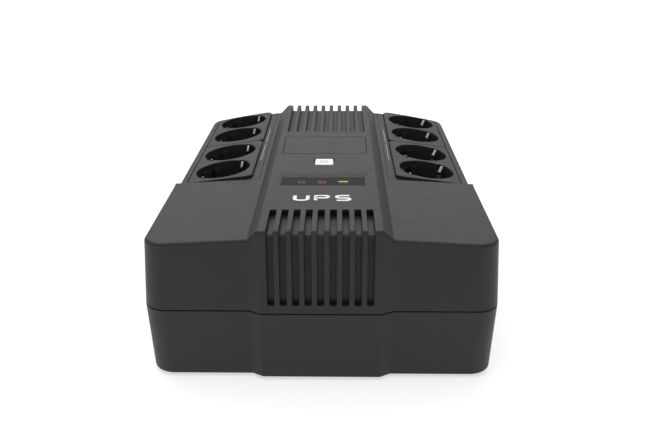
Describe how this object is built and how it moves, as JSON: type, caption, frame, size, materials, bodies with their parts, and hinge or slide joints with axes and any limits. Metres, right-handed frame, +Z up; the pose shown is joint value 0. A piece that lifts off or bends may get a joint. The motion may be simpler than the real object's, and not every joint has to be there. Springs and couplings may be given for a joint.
{
  "type": "uninterruptible power supply",
  "caption": "Flat desktop uninterruptible power supply with round earthed outlets on two side decks, a raised vented spine, display window and power button.",
  "frame": {"origin": "on the floor under the middle of the case's length and width", "axes": "+X across the case to the right seen from the front, +Y from the front nose to the connector side, +Z up"},
  "size_m": [0.2104, 0.3044, 0.0999],
  "materials": {
    "charcoal_abs": "fine matte texture",
    "dark_abs": "matte",
    "feet_rubber": "matte",
    "window_acrylic": "satin",
    "lens_green": "satin",
    "lens_red": "satin",
    "lens_yellow": "satin",
    "button_white": "satin",
    "button_red": "satin",
    "plated_steel": "bright plated",
    "contact_brass": "satin",
    "board_laminate": "satin",
    "battery_plastic": "matte",
    "red_insulation": "satin",
    "black_insulation": "satin",
    "brown_insulation": "satin",
    "grey_insulation": "satin",
    "core_steel": "varnished laminations",
    "bobbin_plastic": "satin",
    "copper_wire": "enamelled",
    "heatsink_aluminium": "extruded",
    "capacitor_sleeve": "satin",
    "relay_plastic": "satin"
  },
  "bodies": {
    "case": {"top_cover": "charcoal_abs", "base_tray": "charcoal_abs", "rubber_feet": "feet_rubber", "front_vent_baffle": "dark_abs", "rear_vent_baffle": "dark_abs", "blanking_panel": "charcoal_abs", "display_window": "window_acrylic", "led_green": "lens_green", "led_red": "lens_red", "led_yellow": "lens_yellow", "button_spring": "plated_steel", "switch_body": "dark_abs", "display_board": "board_laminate", "socket_deck_left": "charcoal_abs", "socket_deck_right": "charcoal_abs", "socket_left_front": "charcoal_abs", "socket_left_rear": "charcoal_abs", "socket_right_front": "charcoal_abs", "socket_right_rear": "charcoal_abs", "carrier_left_front": "dark_abs", "carrier_left_rear": "dark_abs", "carrier_right_front": "dark_abs", "carrier_right_rear": "dark_abs", "earth_strap_left": "plated_steel", "earth_strap_right": "plated_steel", "live_bar_left": "contact_brass", "live_bar_right": "contact_brass", "neutral_bar_left": "contact_brass", "neutral_bar_right": "contact_brass", "inlet_body": "dark_abs", "inlet_pins": "plated_steel", "breaker_body": "dark_abs", "breaker_nut": "plated_steel", "line_ports": "dark_abs", "battery_case": "battery_plastic", "battery_terminals": "plated_steel", "battery_lead_red": "red_insulation", "battery_lead_black": "black_insulation", "transformer_core": "core_steel", "transformer_bobbin": "bobbin_plastic", "transformer_winding": "copper_wire", "transformer_bracket": "plated_steel", "main_board": "board_laminate", "heatsink": "heatsink_aluminium", "transistors": "dark_abs", "capacitors": "capacitor_sleeve", "relays": "relay_plastic", "buzzer": "dark_abs", "case_screws": "plated_steel", "socket_screws": "plated_steel", "board_screws": "plated_steel", "transformer_screws": "plated_steel", "mains_wires": "brown_insulation", "display_cable": "grey_insulation"},
    "button": {"power_button": "button_white", "switch_plunger": "button_red"},
    "breaker_reset": {"breaker_button": "button_red"},
    "battery_hatch": {"battery_door": "charcoal_abs"}
  },
  "joints": [
    {"name": "power_button_press", "type": "slide", "parent": "case", "child": "button", "axis": [0, 0, -1], "range_m": [0, 0.0015], "stiffness_N_per_m": 800, "springref_m": -0.0015, "deforming": ["button_spring"]},
    {"name": "breaker_trip", "type": "slide", "parent": "case", "child": "breaker_reset", "axis": [0, 1, 0], "range_m": [0, 0.003]},
    {"name": "battery_door_swing", "type": "hinge", "parent": "case", "child": "battery_hatch", "pos_m": [0, -0.0391, 0.00325], "axis": [1, 0, 0], "range_deg": [0, 70]}
  ]
}
